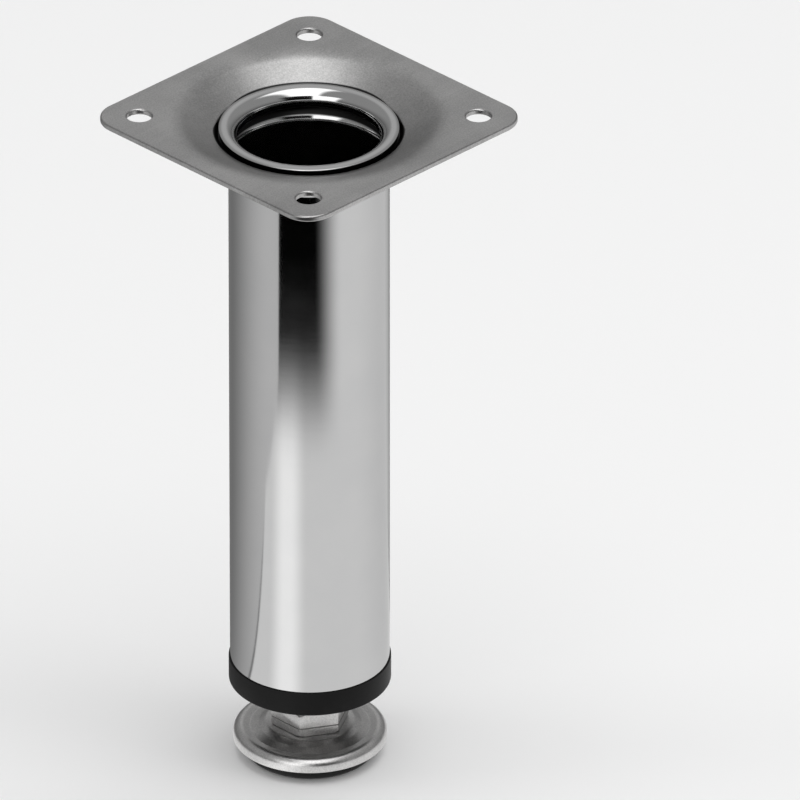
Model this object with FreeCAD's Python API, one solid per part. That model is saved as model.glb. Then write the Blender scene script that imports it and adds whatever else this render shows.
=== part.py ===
import FreeCAD, Part
import math
import os

# Adjustable cabinet leg: a pressed mounting plate, a round tube with a rolled rim,
# a moulded end plug with its nut, and a levelling foot that screws in from below.
# Millimetres, +Z up, origin at the bottom centre of the foot's glide pad.

# Mounting plate
plate_side = 58.0
plate_thickness = 1.2
plate_corner_radius = 5.5
plate_edge_round = 0.4
screw_hole_inset = 6.75
screw_hole_diameter = 4.7
dish_depth = 2.95
dish_slope_run = 7.1
dish_shoulder_bend = 10.0
dish_edge_bend = 0.7
seat_step = 0.85
seat_step_run = 0.55
seat_step_bend = 0.9
seat_margin = 0.45

# Leg tube
leg_length = 120.0
tube_diameter = 30.0
tube_wall = 1.0
throat_step = 0.7
neck_run = 0.13
lip_turn = 115.0
lip_grip = 1.25
bead_stand = 1.9
bead_bend = 0.75
bead_root_round = 0.15
bead_drop = 3.0
bead_tail_bend = 2.0

# End plug
plug_flange_overhang = 0.25
plug_flange_height = 4.9
plug_edge_round = 0.4
spigot_height = 14.0
nut_pocket_wall = 1.3
crush_rib_count = 8
crush_rib_thickness = 1.6
crush_rib_lead = 1.2
crush_rib_lead_height = 2.4
stud_bore_clearance = 0.3

# Insert nut
nut_across_flats = 17.0
nut_height = 8.0
nut_chamfer = 0.8
nut_chamfer_angle = 30.0
nut_recess = 0.2

# Levelling foot: stud
stud_diameter = 10.0
thread_pitch = 1.5
thread_length = 16.5
stud_tip_chamfer = 1.25
relief_height = 0.4
relief_depth = 0.9
collar_across_flats = 13.0
collar_base_height = 1.8
collar_top_height = 3.1
collar_groove = 0.25
collar_base_chamfer = 0.35
collar_chamfer = 1.1
collar_chamfer_drop = 0.65
swivel_neck_diameter = 7.0
rivet_head_diameter = 11.0
rivet_head_height = 1.6
rivet_head_round = 0.6

# Levelling foot: pressed disc
disc_diameter = 29.0
disc_thickness = 1.2
disc_bend = 0.85
disc_rim_height = 5.8
disc_rim_bend = 1.05
disc_skirt = 2.4
disc_groove_inset = 2.6
disc_groove_drop = 0.7
disc_slope_run = 1.9
disc_step_run = 1.2
disc_boss_step = 0.6
disc_boss_rise = 0.5

# Levelling foot: glide pad
pad_inset = 0.9
pad_edge_round = 1.0
pad_top_chamfer = 0.4
pad_floor = 2.2

# Fits and clearances
press_clearance = 0.02
pocket_clearance = 0.05
swivel_clearance = 0.05
swivel_end_play = 0.1
well_clearance = 0.4
thread_clearance = 0.05
rib_clearance = 0.05
home_gap = 0.3
rest_extension = 4.0
cutter_reach = 1.0

AXIS_START = FreeCAD.Vector(0, 0, 0)
AXIS_UP = FreeCAD.Vector(0, 0, 1)
NEGLIGIBLE = 1e-5


def point(radius, height):
    """A point of a section: its distance from the axis and its height."""
    return FreeCAD.Vector(radius, 0, height)


def turned(section):
    """Turns a section once round the upright axis."""
    return section.revolve(AXIS_START, AXIS_UP, 360)


def face_of(points):
    """A flat section with straight edges."""
    corners = [point(radius, height) for radius, height in points]
    return Part.Face(Part.makePolygon(corners + corners[:1]))


def unit(vector):
    """The same direction with length one."""
    return FreeCAD.Vector(vector).normalize()


def sheet_side(path, bends, offset):
    """The edges of one face of a bent sheet, offset from its middle line.

    path is the middle line's corners, and bends its bend radius at each inner corner."""
    edges = []
    directions = [unit(end - start) for start, end in zip(path, path[1:])]
    normals = [FreeCAD.Vector(-way.z, 0, way.x) for way in directions]
    here = path[0] + normals[0] * offset
    for corner, bend, way_in, way_out, normal_in, normal_out in zip(
            path[1:], bends, directions, directions[1:], normals, normals[1:]):
        turn = math.atan2(way_in.x * way_out.z - way_in.z * way_out.x, way_in.dot(way_out))
        side = math.copysign(1, turn)
        setback = bend * math.tan(abs(turn) / 2)
        centre = corner - way_in * setback + normal_in * (side * bend)
        middle = centre + unit(corner - centre) * (bend - side * offset)
        bend_start = corner - way_in * setback + normal_in * offset
        bend_end = corner + way_out * setback + normal_out * offset
        if (bend_start - here).Length > NEGLIGIBLE:
            edges.append(Part.makeLine(here, bend_start))
        edges.append(Part.Arc(bend_start, middle, bend_end).toShape())
        here = bend_end
    finish = path[-1] + normals[-1] * offset
    if (finish - here).Length > NEGLIGIBLE:
        edges.append(Part.makeLine(here, finish))
        here = finish
    return edges, path[0] + normals[0] * offset, here


def sheet_section(path, bends, thickness):
    """The section of a sheet of even thickness, bent along a middle line."""
    left, left_start, left_end = sheet_side(path, bends, thickness / 2)
    right, right_start, right_end = sheet_side(path, bends, -thickness / 2)
    ends = [Part.makeLine(left_start, right_start), Part.makeLine(left_end, right_end)]
    return Part.Face(Part.Wire(Part.__sortEdges__(left + right + ends)))


def hexagon(across_flats, bottom, height):
    """An upright hexagonal bar with two of its flats facing Y."""
    corner_radius = across_flats / math.sqrt(3)
    corners = []
    for index in range(6):
        angle = math.radians(60 * index)
        corner = FreeCAD.Vector(math.cos(angle), math.sin(angle), 0) * corner_radius
        corners.append(corner + AXIS_UP * bottom)
    return Part.Face(Part.makePolygon(corners + corners[:1])).extrude(AXIS_UP * height)


def cylinder(radius, bottom, height):
    """An upright round bar on the axis."""
    return Part.makeCylinder(radius, height, FreeCAD.Vector(0, 0, bottom), AXIS_UP)


def edges_at(shape, height):
    """The edges of a shape that lie wholly at one height."""
    level = []
    for edge in shape.Edges:
        box = edge.BoundBox
        if max(abs(box.ZMin - height), abs(box.ZMax - height)) < NEGLIGIBLE:
            level.append(edge)
    return level


# Heights, from the floor up
disc_top = disc_rim_height + disc_boss_rise
collar_bottom = disc_top + swivel_end_play
collar_height = collar_base_height + collar_top_height
collar_top = collar_bottom + collar_height
plug_bottom = collar_top + home_gap + rest_extension
tube_bottom = plug_bottom + plug_flange_height
plate_top = plug_bottom + leg_length
seat_top = plate_top - dish_depth - seat_step
seat_bottom = seat_top - plate_thickness

# Radii that several pieces share
tube_bore_radius = tube_diameter / 2 - tube_wall
neck_middle_radius = tube_bore_radius - throat_step + tube_wall / 2
lip_overhang = math.radians(lip_turn - 90)
lip_inside_radius = lip_grip * plate_thickness
lip_bend = lip_inside_radius + tube_wall / 2
lip_centre_radius = neck_middle_radius + lip_bend
lip_centre_height = seat_bottom - press_clearance + bead_root_round + neck_run
lip_tip_radius = lip_centre_radius + (lip_bend + tube_wall / 2) * math.sin(lip_overhang)
seat_hole_radius = (
    lip_centre_radius
    - math.sqrt(lip_inside_radius ** 2 - (seat_top - lip_centre_height) ** 2)
    + pocket_clearance)
disc_groove_radius = disc_diameter / 2 - disc_thickness / 2 - disc_groove_inset
disc_boss_radius = disc_groove_radius - disc_slope_run - disc_step_run


def leg_tube():
    """One tube: straight bore, bead under the plate, throat, and lip rolled over the plate."""
    tube_middle = (tube_diameter - tube_wall) / 2
    bead_height = seat_bottom - press_clearance - tube_wall / 2
    bead_tail_height = bead_height - bead_drop
    bead_middle = tube_middle + bead_stand
    flank = math.atan2(bead_drop, bead_stand)
    bead_corner = bead_middle + bead_bend * (math.tan((math.pi - flank) / 2) - 1)
    lip_setback = lip_bend * math.tan(math.radians(lip_turn) / 2)
    lip_corner = point(neck_middle_radius, lip_centre_height + lip_setback)
    lip_way = FreeCAD.Vector(math.sin(math.radians(lip_turn)), 0, math.cos(math.radians(lip_turn)))
    path = [
        point(tube_middle, tube_bottom),
        point(tube_middle, bead_tail_height),
        point(bead_corner, bead_height),
        point(neck_middle_radius, bead_height),
        lip_corner,
        lip_corner + lip_way * lip_setback,
    ]
    bends = [bead_tail_bend, bead_bend, tube_wall / 2 + bead_root_round, lip_bend]
    return turned(sheet_section(path, bends, tube_wall))


def is_on_rim(edge):
    """Whether an edge of the plate lies on its square outline."""
    middle = edge.CenterOfMass
    return max(abs(middle.x), abs(middle.y)) > plate_side / 2 - plate_corner_radius


def mounting_plate():
    """A square plate with a pressed dish, a stepped seat for the lip, screw holes and soft edges."""
    flat_middle = plate_top - plate_thickness / 2
    seat_middle = seat_top - plate_thickness / 2
    step_foot = lip_tip_radius + seat_margin
    dish_edge = step_foot + seat_step_run
    reach = plate_side
    path = [
        point(seat_hole_radius, seat_middle),
        point(step_foot, seat_middle),
        point(dish_edge, seat_middle + seat_step),
        point(dish_edge + dish_slope_run, flat_middle),
        point(reach, flat_middle),
    ]
    bends = [seat_step_bend, dish_edge_bend, dish_shoulder_bend]
    pressed = turned(sheet_section(path, bends, plate_thickness))
    blank = Part.makeBox(
        plate_side, plate_side, plate_top - seat_bottom + plate_thickness,
        FreeCAD.Vector(-plate_side / 2, -plate_side / 2, seat_bottom - plate_thickness / 2))
    upright = [edge for edge in blank.Edges if edge.BoundBox.ZLength > plate_thickness]
    plate = pressed.common(blank.makeFillet(plate_corner_radius, upright))
    outline = edges_at(plate, plate_top) + edges_at(plate, plate_top - plate_thickness)
    plate = plate.makeFillet(plate_edge_round, [edge for edge in outline if is_on_rim(edge)])
    half_spacing = plate_side / 2 - screw_hole_inset
    for across in (-half_spacing, half_spacing):
        for along in (-half_spacing, half_spacing):
            hole = Part.makeCylinder(
                screw_hole_diameter / 2, 3 * plate_thickness,
                FreeCAD.Vector(across, along, plate_top - 2 * plate_thickness))
            plate = plate.cut(hole)
    return plate.Solids[0]


def insert_nut():
    """A hexagonal nut with a plain bore at its thread's size and chamfered corners."""
    bottom = plug_bottom + nut_recess
    top = bottom + nut_height
    corner_radius = nut_across_flats / math.sqrt(3)
    flat_radius = corner_radius - nut_chamfer
    chamfer_drop = nut_chamfer * math.tan(math.radians(nut_chamfer_angle))
    blank = face_of([
        (0, bottom), (flat_radius, bottom), (corner_radius, bottom + chamfer_drop),
        (corner_radius, top - chamfer_drop), (flat_radius, top), (0, top),
    ])
    nut = hexagon(nut_across_flats, bottom, nut_height).common(turned(blank))
    bore_radius = stud_diameter / 2 + thread_clearance
    countersink = thread_pitch / 2
    mouth_radius = bore_radius + countersink
    below = bottom - cutter_reach
    above = top + cutter_reach
    cutter = face_of([
        (0, below), (mouth_radius, below), (mouth_radius, bottom),
        (bore_radius, bottom + countersink), (bore_radius, top - countersink),
        (mouth_radius, top), (mouth_radius, above), (0, above),
    ])
    return nut.cut(turned(cutter)).Solids[0]


def end_plug():
    """A moulded plug: round flange, nut pocket open below, and ribs that grip the tube's bore."""
    flange_radius = tube_diameter / 2 + plug_flange_overhang
    pocket_corner_radius = nut_across_flats / math.sqrt(3) + pocket_clearance
    boss_radius = pocket_corner_radius + nut_pocket_wall
    spigot_top = tube_bottom + spigot_height
    flange = cylinder(flange_radius, plug_bottom, plug_flange_height)
    flange = flange.makeFillet(plug_edge_round, edges_at(flange, plug_bottom))
    plug = flange.fuse(cylinder(boss_radius, tube_bottom, spigot_height))
    rib_root_radius = boss_radius - nut_pocket_wall / 2
    rib_tip_radius = tube_bore_radius - rib_clearance
    rib_outline = face_of([
        (rib_root_radius, tube_bottom), (rib_tip_radius, tube_bottom),
        (rib_tip_radius, spigot_top - crush_rib_lead_height),
        (rib_tip_radius - crush_rib_lead, spigot_top), (rib_root_radius, spigot_top),
    ])
    rib = rib_outline.extrude(FreeCAD.Vector(0, crush_rib_thickness, 0))
    rib.translate(FreeCAD.Vector(0, -crush_rib_thickness / 2, 0))
    for index in range(crush_rib_count):
        placed = rib.copy()
        placed.rotate(AXIS_START, AXIS_UP, index * 360 / crush_rib_count)
        plug = plug.fuse(placed)
    pocket_depth = nut_recess + nut_height
    pocket_bottom = plug_bottom - cutter_reach
    pocket = hexagon(nut_across_flats + 2 * pocket_clearance, pocket_bottom, pocket_depth + cutter_reach)
    bore_height = spigot_top + cutter_reach - plug_bottom
    bore = cylinder(stud_diameter / 2 + stud_bore_clearance, plug_bottom, bore_height)
    return plug.cut(pocket).cut(bore).removeSplitter().Solids[0]


def foot_stud():
    """One turned stud: rivet head, swivel neck, two-step hexagonal collar, relief and thread."""
    thread_start = collar_top + relief_height
    stud_top = thread_start + thread_length
    stud_radius = stud_diameter / 2
    corner_radius = collar_across_flats / math.sqrt(3)
    collar_limit = face_of([
        (0, collar_bottom), (corner_radius - collar_base_chamfer, collar_bottom),
        (corner_radius, collar_bottom + collar_base_chamfer),
        (corner_radius, collar_top - collar_chamfer_drop),
        (corner_radius - collar_chamfer, collar_top), (0, collar_top),
    ])
    groove_bottom = collar_bottom + collar_base_height - collar_groove
    band = hexagon(collar_across_flats + cutter_reach, groove_bottom, collar_groove)
    band = band.cut(hexagon(collar_across_flats - 2 * collar_groove, groove_bottom, collar_groove))
    collar = hexagon(collar_across_flats, collar_bottom, collar_height).common(turned(collar_limit))
    root_radius = stud_radius - relief_depth
    root_bottom = collar_top - collar_top_height / 2
    shank = turned(face_of([
        (0, root_bottom), (root_radius, root_bottom), (root_radius, collar_top + relief_height / 2),
        (stud_radius, thread_start + relief_depth / 2), (stud_radius, stud_top - stud_tip_chamfer),
        (stud_radius - stud_tip_chamfer, stud_top), (0, stud_top),
    ]))
    head_top = disc_top - disc_thickness - swivel_end_play
    head_bottom = head_top - rivet_head_height
    neck_top = collar_bottom + collar_base_height / 2
    neck = cylinder(swivel_neck_diameter / 2, head_bottom, neck_top - head_bottom)
    head = cylinder(rivet_head_diameter / 2, head_bottom, rivet_head_height)
    head = head.makeFillet(rivet_head_round, edges_at(head, head_bottom))
    return head.fuse([neck, collar.cut(band), shank]).removeSplitter().Solids[0]


def foot_disc():
    """A pressed cup: raised boss, shallow groove, and a rim rolled down round the pad."""
    half = disc_thickness / 2
    rim_middle = disc_diameter / 2 - half
    path = [
        point(swivel_neck_diameter / 2 + swivel_clearance, disc_top - half),
        point(disc_boss_radius, disc_top - half),
        point(disc_boss_radius + disc_step_run, disc_top - disc_boss_step - half),
        point(disc_groove_radius, disc_rim_height - disc_groove_drop - half),
        point(rim_middle, disc_rim_height - half),
        point(rim_middle, disc_rim_height - half - disc_skirt),
    ]
    return turned(sheet_section(path, [disc_bend, disc_bend, disc_bend, disc_rim_bend], disc_thickness))


def foot_pad():
    """A moulded glide pad that fills the cup, with a well for the rivet head."""
    pad_radius = disc_diameter / 2 - disc_thickness - pad_inset
    groove_level = disc_rim_height - disc_groove_drop - disc_thickness - press_clearance
    boss_level = disc_top - disc_thickness - press_clearance
    pad = turned(face_of([
        (0, 0), (pad_radius, 0), (pad_radius, groove_level - pad_top_chamfer),
        (pad_radius - pad_top_chamfer, groove_level), (disc_boss_radius + disc_step_run, groove_level),
        (disc_boss_radius - disc_boss_step, boss_level), (0, boss_level),
    ]))
    pad = pad.makeFillet(pad_edge_round, edges_at(pad, 0))
    well_radius = rivet_head_diameter / 2 + well_clearance
    return pad.cut(cylinder(well_radius, pad_floor, boss_level)).Solids[0]


pieces = {
    "mounting_plate": mounting_plate,
    "leg_tube": leg_tube,
    "end_plug": end_plug,
    "insert_nut": insert_nut,
    "foot_stud": foot_stud,
    "foot_disc": foot_disc,
    "foot_pad": foot_pad,
}

os.makedirs("parts", exist_ok=True)
for name, make in pieces.items():
    shape = make()
    shape.exportStep("parts/" + name + ".step")
    box = shape.BoundBox
    print(name, "volume", round(shape.Volume, 1), "valid", shape.isValid(), "solids", len(shape.Solids),
          "height", round(box.ZMin, 2), "to", round(box.ZMax, 2), "width", round(box.XLength, 2))
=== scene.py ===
# %% [markdown]
# The object is an adjustable cabinet leg: a pressed steel plate that screws under a
# cabinet, a bright tube held in it by its own rolled rim, a black plug in the tube's
# lower end, and a levelling foot that screws into a nut inside that plug.
# The solids come first. They are the frame that every finer piece is fitted to.

# %% Load the frame
import math

import bmesh
import bpy
from mathutils import Matrix, Vector


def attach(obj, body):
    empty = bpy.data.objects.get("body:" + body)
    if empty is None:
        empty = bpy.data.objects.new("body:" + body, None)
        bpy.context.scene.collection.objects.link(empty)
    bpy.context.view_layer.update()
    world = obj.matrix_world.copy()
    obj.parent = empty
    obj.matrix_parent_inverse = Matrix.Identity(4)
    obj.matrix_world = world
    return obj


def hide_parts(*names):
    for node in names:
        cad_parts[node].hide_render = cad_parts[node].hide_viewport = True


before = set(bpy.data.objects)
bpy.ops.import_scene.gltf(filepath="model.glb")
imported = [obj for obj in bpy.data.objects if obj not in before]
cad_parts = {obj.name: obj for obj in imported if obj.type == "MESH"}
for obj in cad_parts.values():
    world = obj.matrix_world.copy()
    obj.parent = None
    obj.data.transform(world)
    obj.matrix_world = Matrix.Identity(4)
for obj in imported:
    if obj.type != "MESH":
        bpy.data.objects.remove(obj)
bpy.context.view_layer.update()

MM = 0.001
print("solids:", sorted(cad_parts))


# %% [markdown]
# A pressed or turned piece is easiest to make from its section. The line of the section
# is walked like a bent wire: one vertex is extruded straight to where a bend starts,
# and then spun about the bend's centre. True arcs matter here, because polished metal
# shows every flaw of a curve in its reflections.

# %% Walk a section line
ARC_STEP = math.radians(9)
TOUCHING = 1e-7


def go_straight(bm, tip, target):
    if (target - tip.co).length < TOUCHING:
        return tip
    tip = bmesh.ops.extrude_vert_indiv(bm, verts=[tip])["verts"][0]
    bmesh.ops.translate(bm, verts=[tip], vec=target - tip.co)
    return tip


def section_line(points, bends, arc_step=ARC_STEP):
    """A line through (radius, height) points in mm, with a bend radius at each inner point."""
    bm = bmesh.new()
    stops = [Vector((radius, 0, height)) * MM for radius, height in points]
    tip = bmesh.ops.create_vert(bm, co=stops[0])["vert"][0]
    for before, corner, after, bend in zip(stops, stops[1:], stops[2:], bends):
        way_in = (corner - before).normalized()
        way_out = (after - corner).normalized()
        turn = math.atan2(way_in.x * way_out.z - way_in.z * way_out.x, way_in.dot(way_out))
        setback = bend * MM * math.tan(abs(turn) / 2)
        tip = go_straight(bm, tip, corner - way_in * setback)
        if bend:
            to_left = Vector((-way_in.z, 0, way_in.x)) * math.copysign(bend * MM, turn)
            steps = max(2, round(abs(turn) / arc_step))
            tip = bmesh.ops.spin(
                bm, geom=[tip], cent=tip.co + to_left, axis=(0, -1, 0), angle=turn,
                steps=steps, use_duplicate=False)["geom_last"][0]
    go_straight(bm, tip, stops[-1])
    return bm


# %% [markdown]
# Round pieces are that line spun once about the upright axis. The spin closes on itself,
# the rings at the poles are merged to one vertex, and the faces are turned outwards
# before a wall gets its thickness. After many steps two rings that should meet can be a
# hair apart, so the merging reaches one micrometre.

# %% Spin a section
TURN_STEPS = 192
BLANK_STEPS = 96
SAME_PLACE = 1e-6


def turned(points, bends, steps=TURN_STEPS, arc_step=ARC_STEP):
    bm = section_line(points, bends, arc_step)
    bmesh.ops.spin(
        bm, geom=bm.verts[:] + bm.edges[:], cent=(0, 0, 0), axis=(0, 0, 1),
        angle=math.tau, steps=steps, use_merge=True, use_duplicate=False)
    bmesh.ops.remove_doubles(bm, verts=bm.verts, dist=SAME_PLACE)
    bmesh.ops.recalc_face_normals(bm, faces=bm.faces)
    return bm


def as_object(bm, name):
    mesh = bpy.data.meshes.new(name)
    bm.to_mesh(mesh)
    bm.free()
    piece = bpy.data.objects.new(name, mesh)
    bpy.context.scene.collection.objects.link(piece)
    return piece


# %% [markdown]
# Every piece is finished alike. Modifiers give a sheet its thickness and break its sharp
# edges, because no real edge is perfectly sharp. A weld closes what an edge too short
# for its bevel leaves without area. Then the piece is set on its body, in place of the
# solid that it stands for.

# %% Finish a piece
SHARP = math.radians(35)


def add_wall(piece, thickness):
    wall = piece.modifiers.new("Sheet thickness", "SOLIDIFY")
    wall.thickness = thickness * MM
    wall.offset = 0
    wall.use_even_offset = True


def soften(piece, width, segments=3, angle=40):
    edge = piece.modifiers.new("Soft edges", "BEVEL")
    edge.width = width * MM
    edge.segments = segments
    edge.limit_method = "ANGLE"
    edge.angle_limit = math.radians(angle)
    edge.harden_normals = True
    edge.miter_outer = "MITER_ARC"
    seam = piece.modifiers.new("Close seams", "WELD")
    seam.merge_threshold = TOUCHING


def fit(piece, name, node, body, finish):
    piece.name = piece.data.name = name
    piece.data.shade_smooth()
    piece.data.set_sharp_from_angle(angle=SHARP)
    piece.data.materials.clear()
    piece.data.materials.append(finish)
    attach(piece, body)
    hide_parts(node)
    print(piece.name, "faces", len(piece.data.polygons), "finish", finish.name)


# %% [markdown]
# Some pieces are cut as a machine would cut them: a bar is kept only inside a turned
# blank, or a bore is taken out of it. An exact Boolean does that, and its result is
# read back as a plain mesh, so that no cutter is left in the scene. Corners that the cut
# left in one place are merged.

# %% Cut, join and intersect
def combined(body, operation, tool):
    step = body.modifiers.new("Cut", "BOOLEAN")
    step.operation = operation
    step.solver = "EXACT"
    step.object = tool
    bpy.context.view_layer.update()
    worked = body.evaluated_get(bpy.context.evaluated_depsgraph_get())
    body.data = bpy.data.meshes.new_from_object(worked)
    body.modifiers.clear()
    bm = bmesh.new()
    bm.from_mesh(body.data)
    bmesh.ops.remove_doubles(bm, verts=bm.verts, dist=TOUCHING)
    bmesh.ops.dissolve_degenerate(bm, edges=bm.edges, dist=TOUCHING)
    bm.to_mesh(body.data)
    bm.free()
    bpy.data.objects.remove(tool)


def hexagonal_bar(across_flats, bottom, top):
    bm = bmesh.new()
    bmesh.ops.create_circle(
        bm, cap_ends=True, segments=6, radius=across_flats / math.sqrt(3) * MM)
    first = max(bm.verts, key=lambda corner: corner.co.x)
    turn = -math.atan2(first.co.y, first.co.x)
    bmesh.ops.rotate(
        bm, verts=bm.verts, cent=(0, 0, 0), matrix=Matrix.Rotation(turn, 3, "Z"))
    bmesh.ops.translate(bm, verts=bm.verts, vec=(0, 0, bottom * MM))
    grown = bmesh.ops.extrude_face_region(bm, geom=bm.faces[:])["geom"]
    upper = [part for part in grown if isinstance(part, bmesh.types.BMVert)]
    bmesh.ops.translate(bm, verts=upper, vec=(0, 0, (top - bottom) * MM))
    bmesh.ops.recalc_face_normals(bm, faces=bm.faces)
    return as_object(bm, "bar")


# %% [markdown]
# The levels all follow from the floor up: the disc under the foot, the hexagonal collar
# of its stud, the plug, and the tube with the plate at its top. They are the same
# driving sizes as in the solids.

# %% Levels, shared radii and clearances, in mm
disc_thickness = 1.2
disc_rim_height = 5.8
disc_top = 6.3
swivel_end_play = 0.1
collar_height = 4.9
home_gap = 0.3
rest_extension = 4.0
flange_height = 4.9
leg_length = 120
plate_thickness = 1.2
dish_depth = 2.95
seat_step = 0.85
tube_outer = 15.0
tube_wall = 1.0
stud_radius = 5.0
press_clearance = 0.02
cutter_reach = 1.0

collar_bottom = disc_top + swivel_end_play
collar_top = collar_bottom + collar_height
plug_bottom = collar_top + home_gap + rest_extension
tube_bottom = plug_bottom + flange_height
plate_top = plug_bottom + leg_length
seat_top = plate_top - dish_depth - seat_step
seat_bottom = seat_top - plate_thickness
tube_bore = tube_outer - tube_wall
print("plug from", round(plug_bottom, 2), "tube from", round(tube_bottom, 2))
print("plate's top at", round(plate_top, 2), "its seat at", round(seat_top, 2))


# %% [markdown]
# Shader sums read best as sums. This small class wraps one socket, and each operator on
# it adds the Math node that does the work.

# %% Write shader maths as Python
class Value:
    def __init__(self, finish, socket):
        self.finish = finish
        self.socket = socket

    def maths(self, operation, *others):
        inputs = dict(enumerate([self, *others]))
        return self.finish.node("ShaderNodeMath", {"operation": operation}, inputs)

    def __add__(self, other):
        return self.maths("ADD", other)

    def __mul__(self, other):
        return self.maths("MULTIPLY", other)

    def __sub__(self, other):
        return self.maths("SUBTRACT", other)

    def __rsub__(self, other):
        return (self * -1) + other

    def __truediv__(self, other):
        return self.maths("DIVIDE", other)

    def __pow__(self, other):
        return self.maths("POWER", other)

    __radd__ = __add__
    __rmul__ = __mul__

    def smooth(self, low, high, to_low=0.0, to_high=1.0):
        """Goes softly from to_low to to_high while this value goes from low to high."""
        settings = {"interpolation_type": "SMOOTHSTEP"}
        inputs = {
            "Value": self, "From Min": low, "From Max": high,
            "To Min": to_low, "To Max": to_high}
        return self.finish.node("ShaderNodeMapRange", settings, inputs)


# %% [markdown]
# Every other node comes from one method that takes the node's type, its settings and its
# inputs. The rest of the class names what the finishes of this leg are made of: noise of
# a size in mm, a mix of two tones, a relief, and where a point is on the piece.

# %% Build a node tree
class Finish:
    """The node tree of one material or of the world."""

    def __init__(self, owner):
        owner.use_nodes = True
        self.owner = owner
        self.tree = owner.node_tree
        self.tree.nodes.clear()

    def node(self, kind, settings=None, inputs=None, output=0):
        made = self.tree.nodes.new(kind)
        for name, setting in (settings or {}).items():
            setattr(made, name, setting)
        for name, value in (inputs or {}).items():
            self.put(made.inputs[name], value)
        return Value(self, made.outputs[output]) if made.outputs else None

    def put(self, socket, value):
        if isinstance(value, Value):
            self.tree.links.new(value.socket, socket)
        else:
            socket.default_value = value

    def place(self, scale=(1, 1, 1), turn=0.0):
        """The point on the piece, in the frame's metres, scaled or turned about the axis."""
        here = self.node("ShaderNodeTexCoord", output="Object")
        inputs = {"Vector": here, "Scale": scale, "Rotation": (0, 0, turn)}
        return self.node("ShaderNodeMapping", None, inputs)

    def axes(self, vector):
        """The three parts of a vector, each as a value."""
        parts = self.node("ShaderNodeSeparateXYZ", None, {"Vector": vector})
        return [Value(self, socket) for socket in parts.socket.node.outputs]

    def radius_and_height(self):
        """How far a point is from the upright axis, and how high it is, in mm."""
        across, along, up = self.axes(self.place())
        return (across ** 2 + along ** 2).maths("SQRT") / MM, up / MM

    def noise(self, size, detail=2.0, scale=(1, 1, 1), roughness=0.5):
        """Noise whose features are about size mm wide, stretched by scale."""
        inputs = {
            "Vector": self.place(scale), "Scale": 1 / (size * MM),
            "Detail": detail, "Roughness": roughness}
        return self.node("ShaderNodeTexNoise", None, inputs)

    def mix(self, share, low, high):
        """A tone between low and high. The Mix node names its sockets alike for all types."""
        mixed = self.node("ShaderNodeMix", {"data_type": "RGBA"}, {"Factor": share})
        node = mixed.socket.node
        colours = [socket for socket in node.inputs if socket.type == "RGBA"]
        self.put(colours[0], low)
        self.put(colours[1], high)
        return Value(self, [socket for socket in node.outputs if socket.type == "RGBA"][0])

    def bump(self, height, distance):
        inputs = {"Height": height, "Distance": distance * MM}
        return self.node("ShaderNodeBump", None, inputs)

    def surface(self, inputs):
        shader = self.node("ShaderNodeBsdfPrincipled", None, inputs)
        self.node("ShaderNodeOutputMaterial", None, {"Surface": shader})
        print("finish", self.owner.name, "nodes", len(self.tree.nodes))
        return self.owner

    def metal(self, tone, roughness, relief):
        return self.surface({
            "Base Color": tone, "Metallic": 1.0, "Roughness": roughness, "Normal": relief})


def grey(level, warmth=0.0):
    return (level * (1 + warmth), level, level * (1 - warmth), 1)


# %% [markdown]
# The tube is chromed over polished steel, so it mirrors the studio. What tells steel
# from a computer's mirror is the haze: very fine polishing lines that run round the
# tube, patches where the polish is a little softer, and a tone that isn't quite even.
# The lip's outer face and cut edge, and the fold inside the bead, get painted shade,
# near black where they lie in shadow, and a rougher finish.

# %% Bright chrome
def make_chrome():
    finish = Finish(bpy.data.materials.new("bright_chrome"))
    patches = finish.noise(9, 3)
    lines = finish.noise(0.5, 4, scale=(0.06, 0.06, 1), roughness=0.7)
    grain = finish.noise(0.16, 2)
    shade_and_dullness = painted_lip_and_fold_shade(finish)
    polished = finish.mix(patches, grey(0.55, -0.004), grey(0.6, 0.004))
    # Painted shade: near black on the lip's outer face and cut edge, and inside the tube below
    # the throat.
    tone = finish.mix(shade_and_dullness, polished, grey(0.015))
    roughness = 0.035 + patches * 0.05 + lines * 0.05 + grain * 0.02 + shade_and_dullness * 0.3
    relief = finish.bump(lines * 0.6 + grain * 0.4, 0.0012)
    return finish.metal(tone, roughness, relief)


def painted_lip_and_fold_shade(finish):
    """Painted shade, near black, with a rougher finish: on the lip's outer face and cut edge,
    and inside between bead and lip.
    """
    radius, height = finish.radius_and_height()
    over_seat = height - seat_bottom
    past_tip = radius.smooth(16.05, 16.2)
    between_faces = over_seat.smooth(0.8, 1.0) * over_seat.smooth(2.4, 2.5, 1, 0)
    cone = 14.6 + (over_seat + 3.6) * 0.633
    inside = (cone - radius).smooth(0, 0.2)
    in_fold = over_seat.smooth(-3.0, -2.6) * over_seat.smooth(0.0, 0.2, 1, 0)
    # The mask of painted shade, which also makes those places rougher.
    return (past_tip * between_faces + inside * in_fold).maths("MINIMUM", 1.0)


chrome = make_chrome()


# %% [markdown]
# The plate is a plain stamping with a thin satin plating. It is greyer than the tube,
# its grain is finer than a brushed finish and runs no one way, and the rolling of the
# sheet leaves faint long streaks. The narrow gap round the tube's lip gets painted shade,
# a near black ring, wider toward one corner and the opposite one, where it lies in shadow.

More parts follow.
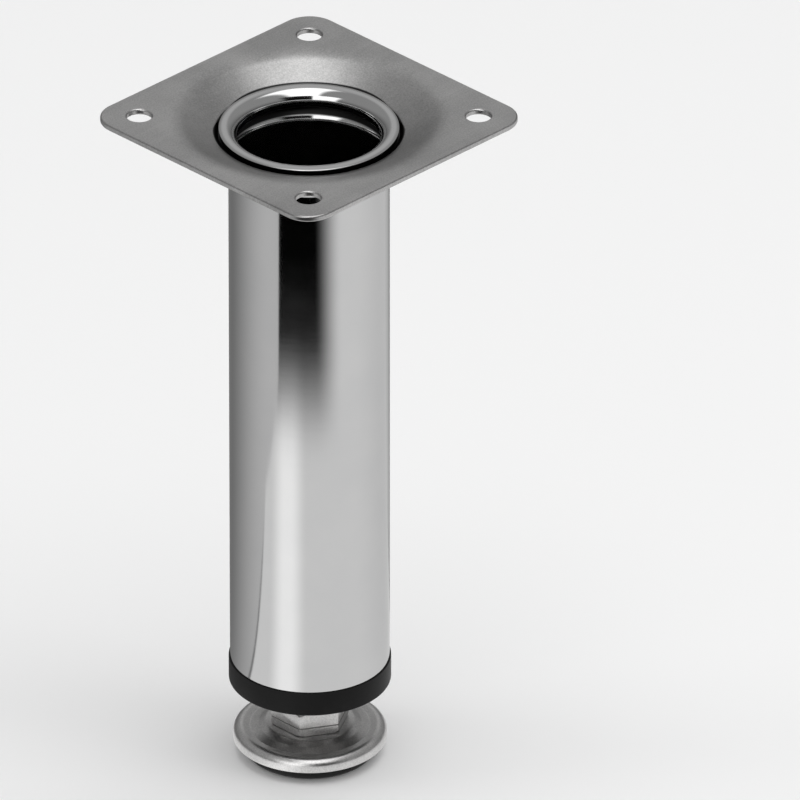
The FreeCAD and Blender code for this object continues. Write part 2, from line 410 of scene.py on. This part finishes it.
# %% Satin plated steel
def make_plate_finish():
    finish = Finish(bpy.data.materials.new("satin_plated_steel"))
    clouds = finish.noise(14, 4, roughness=0.6)
    streaks = finish.noise(0.7, 3, scale=(1, 0.03, 1))
    grain = finish.noise(0.3, 3, roughness=0.7)
    speckle = clouds * 0.35 + streaks * 0.1 + grain * 0.55
    plated = finish.mix(speckle.smooth(0.3, 0.7), grey(0.33, 0.004), grey(0.58, 0.008))
    # Painted shade: near black in the narrow gap round the tube's lip.
    tone = finish.mix(painted_crevice_shade(finish), plated, grey(0.03))
    roughness = 0.22 + clouds * 0.1 + grain * 0.1
    relief = finish.bump(grain * 0.95 + streaks * 0.05, 0.01)
    return finish.metal(tone, roughness, relief)


def painted_crevice_shade(finish):
    """Painted shade: the dark ring beside the lip, where the gap under it lies in shadow, wide
    on one corner's half and again opposite to it.
    """
    radius, height = finish.radius_and_height()
    corner_ward = finish.axes(finish.place(turn=math.radians(45)))[0]
    side = corner_ward / MM / radius
    reach = side.smooth(-0.9, -0.3, 18.08, 17.1) + side.smooth(-0.35, 0.05, 0, 0.75)
    return (radius - reach).smooth(-0.1, 0.1, 1, 0)


plate_finish = make_plate_finish()


# %% [markdown]
# The foot's stud and disc are zinc plated. Zinc crystals give it a bright, slightly
# milky grain, coarser than the chrome, with duller spots where it was handled.

# %% Zinc plated steel
def make_zinc():
    finish = Finish(bpy.data.materials.new("zinc_plated_steel"))
    crystals = finish.noise(0.32, 3, roughness=0.65)
    spots = finish.noise(3, 4, roughness=0.65)
    grain = finish.noise(0.12, 2)
    mottle = (spots * 0.25 + crystals * 0.5 + grain * 0.25).smooth(0.32, 0.68)
    tone = finish.mix(mottle, grey(0.46, 0.006), grey(0.7, 0.012))
    roughness = 0.2 + crystals * 0.16 + spots * 0.08
    relief = finish.bump(grain * 0.4 + crystals * 0.6, 0.014)
    return finish.metal(tone, roughness, relief)


zinc = make_zinc()


# %% [markdown]
# The plug and the glide pad are black plastic. The mould gives the plug a fine even
# texture with a satin gloss, and the pad is duller and a little scuffed underneath.

# %% Black plastics
def make_plastic(name, tone, gloss_roughness, texture_size, scuffs):
    finish = Finish(bpy.data.materials.new(name))
    texture = finish.noise(texture_size, 2, roughness=0.6)
    wear = finish.noise(5, 5, roughness=0.65).smooth(0.5, 0.75)
    colour = finish.mix(wear * scuffs, grey(tone), grey(tone * 3.5, 0.02))
    roughness = gloss_roughness + texture * 0.12 + wear * scuffs * 0.2
    return finish.surface({
        "Base Color": colour, "Roughness": roughness, "IOR": 1.5, "Specular IOR Level": 0.12,
        "Normal": finish.bump(texture, 0.012)})


plug_plastic = make_plastic(
    "black_moulded_plastic", tone=0.006, gloss_roughness=0.36, texture_size=0.3, scuffs=0.25)
pad_plastic = make_plastic(
    "matt_black_plastic", tone=0.016, gloss_roughness=0.55, texture_size=0.5, scuffs=0.6)


# %% [markdown]
# The tube is one length of welded and polished tube. Under the plate it is pressed out
# into a bead, it passes the plate's hole as a narrower throat, and above the plate it is
# rolled outwards and down into a lip. Bead and lip clamp the plate between them. So the
# whole of it is one section line with one wall thickness.

# %% Model the tube
LIP_BEND = 2.0
THROAT_RADIUS = 13.8


def make_tube():
    middle = tube_outer - tube_wall / 2
    bead_drop = 3.0
    bead_stand = 1.9
    bead_bend = 0.75
    bead_tail_bend = 2.0
    root_round = 0.15
    neck_run = 0.13
    bead_height = seat_bottom - press_clearance - tube_wall / 2
    flank = math.atan2(bead_drop, bead_stand)
    bead_corner = middle + bead_stand + bead_bend * (math.tan((math.pi - flank) / 2) - 1)

    lip_turn = math.radians(115)
    lip_centre = seat_bottom - press_clearance + root_round + neck_run
    setback = LIP_BEND * math.tan(lip_turn / 2)
    lip_corner = (THROAT_RADIUS, lip_centre + setback)
    lip_end = (
        THROAT_RADIUS + setback * math.sin(lip_turn),
        lip_corner[1] + setback * math.cos(lip_turn))

    points = [
        (middle, tube_bottom), (middle, bead_height - bead_drop), (bead_corner, bead_height),
        (THROAT_RADIUS, bead_height), lip_corner, lip_end]
    bends = [bead_tail_bend, bead_bend, root_round + tube_wall / 2, LIP_BEND]
    piece = as_object(turned(points, bends), "tube")
    add_wall(piece, tube_wall)
    soften(piece, 0.12)
    fit(piece, "leg_tube_shell", "leg_tube", "leg", chrome)
    return lip_centre


lip_height = make_tube()
lip_radius = THROAT_RADIUS + LIP_BEND
print("lip's centre line at radius", lip_radius, "height", round(lip_height, 2))


# %% [markdown]
# The plate is pressed from a square blank. A spin gives the dish with its stepped seat,
# out to where the sheet is flat again. The seat starts at the tube's throat, under the
# lip, and steps up just past the lip's tip.

# %% Model the plate's dish
DISH_REACH = 27.2


def dish():
    middle = plate_top - plate_thickness / 2
    seat = seat_top - plate_thickness / 2
    lip_outer_bend = LIP_BEND + tube_wall / 2
    lip_inner_bend = LIP_BEND - tube_wall / 2
    hole_clearance = 0.05
    seat_margin = 0.45
    step_run = 0.55
    slope_run = 7.1
    lip_tip = lip_radius + lip_outer_bend * math.sin(math.radians(25))
    lip_root = lip_radius - math.sqrt(lip_inner_bend ** 2 - (seat_top - lip_height) ** 2)
    step_foot = lip_tip + seat_margin
    dish_edge = step_foot + step_run
    points = [
        (lip_root + hole_clearance, seat), (step_foot, seat), (dish_edge, seat + seat_step),
        (dish_edge + slope_run, middle), (DISH_REACH, middle)]
    step_bend, edge_bend, margin_bend = 0.9, 0.7, 10.0
    return turned(points, [step_bend, edge_bend, margin_bend], arc_step=math.radians(3))


# %% [markdown]
# The rest of the plate is flat sheet between that circle, the rounded square outline and
# four screw holes, so those outlines are drawn with circles and a bevelled square, and
# filled. Each cut outline first gets a narrow hem of even faces, extruded and scaled
# from it, so that its edge can be rounded cleanly.

# %% Draw the plate's flat margin
PLATE_SIDE = 58.0
PLATE_CORNER = 5.5
HOLE_INSET = 6.75
HOLE_PLACE = PLATE_SIDE / 2 - HOLE_INSET
HOLE_DIAMETER = 4.7
HEM = 0.8


def hem(bm, outline, centre, share):
    """A narrow ring of faces beside an outline, and the edges of its other side."""
    grown = bmesh.ops.extrude_edge_only(bm, edges=outline)["geom"]
    corners = [part for part in grown if isinstance(part, bmesh.types.BMVert)]
    to_centre = Matrix.Translation(-centre)
    bmesh.ops.scale(bm, verts=corners, vec=(share, share, 1), space=to_centre)
    return [part for part in grown if isinstance(part, bmesh.types.BMEdge)
            and all(end in corners for end in part.verts)]


def ring_of_edges(made):
    return list({edge for corner in made["verts"] for edge in corner.link_edges})


def flat_margin():
    bm = bmesh.new()
    bmesh.ops.create_grid(bm, x_segments=1, y_segments=1, size=PLATE_SIDE / 2 * MM)
    bmesh.ops.bevel(
        bm, geom=bm.verts[:], offset=PLATE_CORNER * MM, offset_type="OFFSET", segments=14,
        profile=0.5, affect="VERTICES", material=-1)
    bmesh.ops.delete(bm, geom=bm.faces[:], context="FACES_ONLY")
    bounds = hem(bm, bm.edges[:], Vector(), 1 - 2 * HEM / PLATE_SIDE)
    bounds += ring_of_edges(
        bmesh.ops.create_circle(bm, segments=TURN_STEPS, radius=DISH_REACH * MM))
    for across in (-HOLE_PLACE, HOLE_PLACE):
        for along in (-HOLE_PLACE, HOLE_PLACE):
            centre = Vector((across, along, 0)) * MM
            hole = bmesh.ops.create_circle(
                bm, segments=48, radius=HOLE_DIAMETER / 2 * MM,
                matrix=Matrix.Translation(centre))
            bounds += hem(bm, ring_of_edges(hole), centre, 1 + 2 * HEM / HOLE_DIAMETER)
    bmesh.ops.triangle_fill(bm, edges=bounds, use_beauty=True, normal=(0, 0, 1))
    bmesh.ops.translate(
        bm, verts=bm.verts, vec=(0, 0, (plate_top - plate_thickness / 2) * MM))
    print("margin's faces", len(bm.faces))
    return bm


# %% [markdown]
# Dish and margin meet in one circle, where their corners are merged. Then the one sheet
# gets its thickness, half to each side, and its cut edges are rounded.

# %% Join the mounting plate
def make_plate():
    bm = dish()
    margin = bpy.data.meshes.new("margin")
    flat = flat_margin()
    flat.to_mesh(margin)
    flat.free()
    bm.from_mesh(margin)
    bpy.data.meshes.remove(margin)
    bmesh.ops.remove_doubles(bm, verts=bm.verts, dist=5 * SAME_PLACE)
    bmesh.ops.recalc_face_normals(bm, faces=bm.faces)
    piece = as_object(bm, "plate")
    add_wall(piece, plate_thickness)
    soften(piece, 0.35, 4)
    fit(piece, "mounting_plate_sheet", "mounting_plate", "leg", plate_finish)


make_plate()


# %% [markdown]
# The end plug is a moulding. Its flange shows as the black band under the tube, with its
# lower edge just broken. Inside the tube a boss with eight ribs grips the bore, and from
# below a hexagonal pocket takes the nut. One rib is a box with a lead on its outer upper
# edge, and a spin with copies sets the others round the boss.

# %% Model the end plug
NUT_ACROSS_FLATS = 17.0
NUT_HEIGHT = 8.0
NUT_BOTTOM = plug_bottom + 0.2
POCKET_CLEARANCE = 0.05
SPIGOT_TOP = tube_bottom + 14
RIBS = 8


def make_ribs(boss):
    rib_clearance = 0.05
    root = boss - 0.6
    tip = tube_bore - rib_clearance
    thickness = 1.6
    lead = 1.2
    bm = bmesh.new()
    bmesh.ops.create_cube(bm, size=MM)
    bmesh.ops.scale(bm, verts=bm.verts, vec=(tip - root, thickness, SPIGOT_TOP - tube_bottom))
    middle = Vector(((root + tip) / 2, 0, (SPIGOT_TOP + tube_bottom) / 2)) * MM
    bmesh.ops.translate(bm, verts=bm.verts, vec=middle)
    outer_upper = [edge for edge in bm.edges if all(
        end.co.x > middle.x and end.co.z > middle.z for end in edge.verts)]
    bmesh.ops.bevel(
        bm, geom=outer_upper, offset=lead * MM, offset_type="OFFSET", segments=1,
        profile=0.5, affect="EDGES", material=-1)
    bmesh.ops.spin(
        bm, geom=bm.verts[:] + bm.edges[:] + bm.faces[:], cent=(0, 0, 0), axis=(0, 0, 1),
        angle=math.tau * (RIBS - 1) / RIBS, steps=RIBS - 1, use_duplicate=True)
    return as_object(bm, "ribs")


def make_plug():
    flange = 15.25
    pocket_wall = 1.3
    boss = NUT_ACROSS_FLATS / math.sqrt(3) + POCKET_CLEARANCE + pocket_wall
    bore_radius = stud_radius + 0.3
    points = [
        (0, plug_bottom), (flange, plug_bottom), (flange, tube_bottom), (boss, tube_bottom),
        (boss, SPIGOT_TOP), (0, SPIGOT_TOP)]
    lower_round, upper_round, root_round, top_round = 0.4, 0.12, 0.3, 0.3
    body = turned(points, [lower_round, upper_round, root_round, top_round])
    piece = as_object(body, "plug")
    combined(piece, "UNION", make_ribs(boss))
    pocket = hexagonal_bar(
        NUT_ACROSS_FLATS + 2 * POCKET_CLEARANCE, plug_bottom - cutter_reach,
        NUT_BOTTOM + NUT_HEIGHT)
    combined(piece, "DIFFERENCE", pocket)
    bore = turned([
        (0, plug_bottom), (bore_radius, plug_bottom), (bore_radius, SPIGOT_TOP + cutter_reach),
        (0, SPIGOT_TOP + cutter_reach)], [0, 0])
    combined(piece, "DIFFERENCE", as_object(bore, "bore"))
    soften(piece, 0.15, 2)
    fit(piece, "end_plug_moulding", "end_plug", "leg", plug_plastic)


make_plug()


# %% [markdown]
# A thread is one V-shaped section that climbs as it turns. The spin does that by itself,
# when each of its steps also moves up by its share of the pitch. The ribbon that it
# makes is one pitch wide, so neighbouring turns meet and are merged. Its two ends are
# drawn in to the axis, which closes the body, and a turned blank then trims it.

# %% Cut a thread
PITCH = 1.5
THREAD_STEPS = 48
THREAD_DEPTH = 0.92
ROOT_END, CREST_START, CREST_END, ROOT_START = 0.125, 0.655, 0.845, 1.375


def threaded_bar(crest, bottom, top):
    """A right-hand thread of crest radius, at least from bottom to top, open at no end."""
    root = crest - THREAD_DEPTH
    turns = math.ceil((top - bottom) / PITCH) + 2
    start = math.floor(bottom / PITCH - 1) * PITCH
    points = [
        (root, start), (root, start + ROOT_END), (crest, start + CREST_START),
        (crest, start + CREST_END), (root, start + ROOT_START), (root, start + PITCH)]
    root_round, crest_round = 0.08, 0.12
    bends = [root_round, crest_round, crest_round, root_round]
    bm = section_line(points, bends, math.radians(20))
    bmesh.ops.spin(
        bm, geom=bm.verts[:] + bm.edges[:], cent=(0, 0, 0), axis=(0, 0, 1),
        dvec=(0, 0, PITCH / THREAD_STEPS * MM), angle=math.tau * turns,
        steps=THREAD_STEPS * turns, use_duplicate=False)
    bmesh.ops.remove_doubles(bm, verts=bm.verts, dist=SAME_PLACE)
    open_ends = [edge for edge in bm.edges if edge.is_boundary]
    drawn = bmesh.ops.extrude_edge_only(bm, edges=open_ends)["geom"]
    rim = [part for part in drawn if isinstance(part, bmesh.types.BMVert)]
    half_way = (start + (turns + 1) / 2 * PITCH) * MM
    lower = [corner for corner in rim if corner.co.z < half_way]
    upper = [corner for corner in rim if corner.co.z >= half_way]
    for ends, level in ((lower, start), (upper, start + (turns + 1) * PITCH)):
        bmesh.ops.pointmerge(bm, verts=ends, merge_co=(0, 0, level * MM))
    bmesh.ops.recalc_face_normals(bm, faces=bm.faces)
    return as_object(bm, "thread")


# %% [markdown]
# The stud carries a hexagonal collar in two layers for the spanner. The collar is a bar
# with a shallow groove between its layers, kept inside a turned limit that chamfers its
# corners.

# %% Model the stud's collar
COLLAR_ACROSS_FLATS = 13.0


def make_collar():
    groove_depth = 0.25
    groove_bottom = collar_bottom + 1.55
    groove_top = collar_bottom + 1.8
    lower_chamfer = 0.35
    upper_chamfer = 1.1
    upper_drop = 0.65
    corner = COLLAR_ACROSS_FLATS / math.sqrt(3)
    collar = hexagonal_bar(COLLAR_ACROSS_FLATS, collar_bottom, collar_top)
    band = hexagonal_bar(COLLAR_ACROSS_FLATS + cutter_reach, groove_bottom, groove_top)
    core = hexagonal_bar(COLLAR_ACROSS_FLATS - 2 * groove_depth, collar_bottom, collar_top)
    combined(band, "DIFFERENCE", core)
    combined(collar, "DIFFERENCE", band)
    limit = turned([
        (0, collar_bottom), (corner - lower_chamfer, collar_bottom),
        (corner, collar_bottom + lower_chamfer), (corner, collar_top - upper_drop),
        (corner - upper_chamfer, collar_top), (0, collar_top)],
        [0.2, 0.2, 0.3, 0.3], BLANK_STEPS)
    combined(collar, "INTERSECT", as_object(limit, "limit"))
    return collar


# %% [markdown]
# The levelling foot's stud is cold formed in one piece: a thread, that collar, and a
# rivet head under the disc that lets the foot swivel. Each part is shaped on its own, and
# then all are joined to one closed mesh. The thread starts inside the collar, so that
# they grow together, and above it a short relief is left without thread.

# %% Model the foot's stud
def make_rivet_head():
    top = disc_top - disc_thickness - swivel_end_play
    head_height = 1.6
    head_radius = 5.5
    neck_radius = 3.5
    in_collar = collar_bottom + 0.9
    head = turned([
        (0, top - head_height), (head_radius, top - head_height), (head_radius, top),
        (neck_radius, top), (neck_radius, in_collar), (0, in_collar)],
        [0.6, 0.1, 0, 0], BLANK_STEPS)
    return as_object(head, "head")


def make_stud():
    relief_height = 0.4
    thread_length = 16.5
    relief_radius = 4.0
    past_crest = 5.2
    run_out = 0.65
    tip_radius = 3.75
    tip_drop = 1.45
    thread_start = collar_top + relief_height
    tip = thread_start + thread_length
    in_collar = collar_top - 1.5
    piece = threaded_bar(stud_radius - press_clearance, in_collar, tip)
    blank = turned([
        (0, in_collar), (relief_radius, in_collar), (relief_radius, collar_top + 0.2),
        (past_crest, thread_start + run_out), (past_crest, tip - tip_drop),
        (tip_radius, tip), (0, tip)],
        [0, 0.2, 0, 0, 0.3], BLANK_STEPS)
    combined(piece, "INTERSECT", as_object(blank, "blank"))
    combined(piece, "UNION", make_collar())
    combined(piece, "UNION", make_rivet_head())
    soften(piece, 0.06, 2, 45)
    fit(piece, "foot_stud_threaded", "foot_stud", "stud", zinc)


make_stud()


# %% [markdown]
# The nut in the plug is a plain hexagonal nut, chamfered on both faces. Its thread is
# the stud's, a twentieth of a millimetre larger, so the stud really runs in it, and a
# double cone opens the thread's two mouths.

# %% Model the nut
def make_nut():
    thread_clearance = 0.05
    chamfer = 0.8
    drop = chamfer * math.tan(math.radians(30))
    mouth_radius = 6.75
    mouth_end = 4.5
    mouth_depth = mouth_radius - mouth_end - cutter_reach
    top = NUT_BOTTOM + NUT_HEIGHT
    corner = NUT_ACROSS_FLATS / math.sqrt(3)
    piece = hexagonal_bar(NUT_ACROSS_FLATS, NUT_BOTTOM, top)
    limit = turned([
        (0, NUT_BOTTOM), (corner - chamfer, NUT_BOTTOM), (corner, NUT_BOTTOM + drop),
        (corner, top - drop), (corner - chamfer, top), (0, top)],
        [0, 0, 0, 0], BLANK_STEPS)
    combined(piece, "INTERSECT", as_object(limit, "limit"))
    bore = threaded_bar(stud_radius + thread_clearance, NUT_BOTTOM, top)
    combined(piece, "DIFFERENCE", bore)
    mouths = turned([
        (0, NUT_BOTTOM - cutter_reach), (mouth_radius, NUT_BOTTOM - cutter_reach),
        (mouth_end, NUT_BOTTOM + mouth_depth), (mouth_end, top - mouth_depth),
        (mouth_radius, top + cutter_reach), (0, top + cutter_reach)],
        [0, 0, 0, 0], BLANK_STEPS)
    combined(piece, "DIFFERENCE", as_object(mouths, "mouths"))
    fit(piece, "insert_nut_threaded", "insert_nut", "leg", zinc)


make_nut()


# %% [markdown]
# The foot's disc is pressed sheet: a raised boss round the stud, a slope down into a
# shallow groove, and a rim that is rolled down round the pad. The section line is the
# middle of the sheet, half a thickness under its upper face.

# %% Model the foot's disc
def make_disc():
    half = disc_thickness / 2
    hole, boss_edge, slope_start, groove, rim = 3.55, 8.2, 9.4, 11.3, 13.9
    boss_step = 0.6
    groove_drop = 0.7
    skirt = 2.4
    points = [
        (hole, disc_top - half), (boss_edge, disc_top - half),
        (slope_start, disc_top - boss_step - half),
        (groove, disc_rim_height - groove_drop - half), (rim, disc_rim_height - half),
        (rim, disc_rim_height - half - skirt)]
    bend, rim_bend = 0.85, 1.05
    piece = as_object(turned(points, [bend, bend, bend, rim_bend]), "disc")
    add_wall(piece, disc_thickness)
    soften(piece, 0.15)
    fit(piece, "foot_disc_pressing", "foot_disc", "foot", zinc)


make_disc()


# %% [markdown]
# The glide pad is a soft plastic moulding that fills the disc from below. A round well
# in it leaves room for the rivet head, and its lower edge is rounded.

# %% Model the glide pad
def make_pad():
    outer, top_chamfer, shoulder, crown, well = 12.4, 0.4, 9.4, 7.6, 5.9
    shoulder_height = 3.88
    crown_height = 5.08
    well_floor = 2.2
    points = [
        (0, 0), (outer, 0), (outer, shoulder_height - top_chamfer),
        (outer - top_chamfer, shoulder_height), (shoulder, shoulder_height),
        (crown, crown_height), (well, crown_height), (well, well_floor), (0, well_floor)]
    bends = [1.0, 0.1, 0.1, 0.2, 0.2, 0.15, 0.3]
    piece = as_object(turned(points, bends), "pad")
    fit(piece, "foot_pad_moulding", "foot_pad", "foot", pad_plastic)


make_pad()


# %% [markdown]
# The camera looks down at the leg from one corner of the plate. Its lens is so long that
# upright and level lines stay nearly parallel, as in a catalogue picture. It aims beside
# the leg, because the leg stands left of the middle of the picture.

# %% Set the camera
AZIMUTH = math.radians(45)
ELEVATION = math.radians(29.4)
FRAME_WIDTH = 149.3 * MM
AIM_HEIGHT = 75 * MM
AIM_ASIDE = 16.9 * MM
LENS = 1200.0


def set_camera():
    camera = bpy.data.objects.new("camera", bpy.data.cameras.new("camera"))
    bpy.context.scene.collection.objects.link(camera)
    camera.data.lens = LENS
    back = Vector((
        math.sin(AZIMUTH) * math.cos(ELEVATION), -math.cos(AZIMUTH) * math.cos(ELEVATION),
        math.sin(ELEVATION)))
    right = Vector((math.cos(AZIMUTH), math.sin(AZIMUTH), 0))
    aim = Vector((0, 0, AIM_HEIGHT)) + right * AIM_ASIDE
    distance = FRAME_WIDTH * LENS / camera.data.sensor_width
    camera.location = aim + back * distance
    camera.rotation_euler = back.to_track_quat("Z", "Y").to_euler()
    camera.data.clip_end = 20
    bpy.context.scene.camera = camera
    print("camera at", [round(x, 2) for x in camera.location])


set_camera()


# %% [markdown]
# Polished metal doesn't mirror paper alone: a real studio is dark beyond the lit table.
# So for mirror rays the floor has the tones of such a studio, with a straight edge of
# the table, a dark line along it and a darker room past it. Places are in metres from
# the leg, to the camera's right and away from it, and a bearing is in degrees, 0 towards
# the camera and 90 to its right.

# %% Tones that the metal sees below the horizon
def mirror_tone(right, away, far):
    toward = away * -1
    near_edge = (-0.040 - toward * 1.2).maths("MAXIMUM", -0.105)
    table_edge = (-0.003 - toward * 0.92).maths("MINIMUM", near_edge)
    on_table = (right - table_edge).smooth(-0.0015, 0.0015)
    bearing = right.maths("ARCTAN2", toward) * (180 / math.pi)

    round_about = bearing.maths("WRAP", 135, -225)
    room_in_front = round_about.smooth(-150, -55, 0.2, 0.69)
    room_behind = round_about.smooth(-225, -185, 0.5, 0)
    room = room_in_front + room_behind

    lit = bearing.smooth(60, 150, 0.92, 0.72)
    bright_band = bearing.smooth(-56, -34) * bearing.smooth(-26, -3, 0.42, 0)
    front_left = bearing.smooth(8, 48, 1, 0)
    falling_off = (1 - far.smooth(0.128, 0.171)) ** 1.5
    table = (lit + bright_band) * (1 - front_left * (1 - falling_off))

    gap = (right - table_edge + 0.002).maths("ABSOLUTE").smooth(0.001, 0.003, 0.6, 0)
    gap = gap * far.smooth(0.08, 0.115, 1, 0)
    return (room * (1 - on_table) + table * on_table) * (1 - gap)


# %% [markdown]
# For every other ray the floor is pale paper. It fades to the white of the background
# before its edge, so no horizon shows. The floor goes with the foot, so that the leg
# stands on it however far the foot is screwed out.

# %% Lay the floor
FLOOR_RADIUS = 1.6


def make_floor_finish():
    finish = Finish(bpy.data.materials.new("pale_paper"))
    right, away, up = finish.axes(finish.place(turn=-AZIMUTH))
    far = (right ** 2 + away ** 2).maths("SQRT")
    paper = finish.node("ShaderNodeBsdfDiffuse", None, {"Color": grey(0.92)})
    clear = finish.node("ShaderNodeBsdfTransparent")
    fading = finish.node(
        "ShaderNodeMixShader", None, {0: far.smooth(0.35, 1.1), 1: paper, 2: clear})
    mirrored = finish.node(
        "ShaderNodeEmission", None, {"Color": mirror_tone(right, away, far), "Strength": 1.0})
    glossy = finish.node("ShaderNodeLightPath", output="Is Glossy Ray")
    both = finish.node("ShaderNodeMixShader", None, {0: glossy, 1: fading, 2: mirrored})
    finish.node("ShaderNodeOutputMaterial", None, {"Surface": both})
    return finish.owner


def lay_floor():
    bm = bmesh.new()
    bmesh.ops.create_circle(bm, cap_ends=True, segments=96, radius=FLOOR_RADIUS)
    floor = as_object(bm, "floor")
    floor.data.materials.append(make_floor_finish())
    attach(floor, "foot")
    print("floor's radius in m", FLOOR_RADIUS)


lay_floor()


# %% [markdown]
# Metal also sees the studio above the floor: walls that are darker low down, a lamp
# overhead, and towards the camera a dark room beside a lit screen. Directions are given
# as the parts of a ray of length one, to the camera's right, away from it and up.

# %% Tones that the metal sees above the horizon
def mirrored_studio(right, away, up):
    low_front = away.smooth(-0.3, 0.0, 1, 0) * up.smooth(0.57, 0.65, 1, 0)
    wall = up.smooth(0.0, 0.5, 0.2, 0.55) * right.maths("ABSOLUTE").smooth(0.1, 0.3, 1, 0.65)
    dark_room = low_front * right.smooth(-0.12, -0.06) * right.smooth(0.5, 0.7, 1, 0)
    overhead_lamp = (
        away.smooth(0.25, 0.45, 1, 0) * up.smooth(0.57, 0.65)
        * right.smooth(-0.28, -0.16) * right.smooth(0.35, 0.5, 1, 0))
    side_lamp = (
        low_front * up.smooth(-0.05, 0.05) * right.smooth(-0.7, -0.6)
        * right.smooth(-0.12, -0.06, 1, 0))
    return wall * (1 - dark_room * 0.97) + overhead_lamp * 1.5 + side_lamp * 1.6


# %% [markdown]
# The world is white to the camera. For plain surfaces it is a soft half light, and large
# lamps add the rest, so that a colour renders about as it is written. The lamps
# themselves are hidden from the metal, which sees the painted ones instead.

# %% Light the studio
HALF_LIGHT = 0.5
LAMP_TARGET = Vector((0, 0, 0.07))


def light_world():
    world = bpy.data.worlds.new("studio")
    bpy.context.scene.world = world
    sky = Finish(world)
    way = sky.node("ShaderNodeTexCoord", output="Generated")
    turned_way = sky.node(
        "ShaderNodeMapping", {"vector_type": "POINT"},
        {"Vector": way, "Rotation": (0, 0, -AZIMUTH)})
    right, away, up = sky.axes(turned_way)
    glossy = sky.node("ShaderNodeLightPath", output="Is Glossy Ray")
    camera = sky.node("ShaderNodeLightPath", output="Is Camera Ray")
    through = sky.node("ShaderNodeLightPath", output="Is Transmission Ray")
    white = (camera + through).maths("MINIMUM", 1.0)
    on_metal = glossy * mirrored_studio(right, away, up)
    strength = white + on_metal + (1 - white) * (1 - glossy) * HALF_LIGHT
    light = sky.node(
        "ShaderNodeBackground", None, {"Color": grey(1.0), "Strength": strength})
    sky.node("ShaderNodeOutputWorld", None, {"Surface": light})


def hang_lamp(name, place, size, power):
    lamp = bpy.data.objects.new(name, bpy.data.lights.new(name, "AREA"))
    bpy.context.scene.collection.objects.link(lamp)
    lamp.data.shape = "RECTANGLE"
    lamp.data.size, lamp.data.size_y = size
    lamp.data.energy = power
    lamp.location = place
    lamp.visible_glossy = False
    lamp.rotation_euler = (Vector(place) - LAMP_TARGET).to_track_quat("Z", "Y").to_euler()
    print(name, "watts", power)


light_world()
hang_lamp("overhead_softbox", place=(0.15, 0.15, 1.3), size=(1.4, 1.4), power=9.0)
hang_lamp("left_softbox", place=(-0.75, -0.75, 0.7), size=(0.5, 1.0), power=2.0)
hang_lamp("right_softbox", place=(0.95, 0.5, 0.6), size=(0.5, 1.0), power=2.0)
bpy.context.scene.view_settings.view_transform = "Standard"
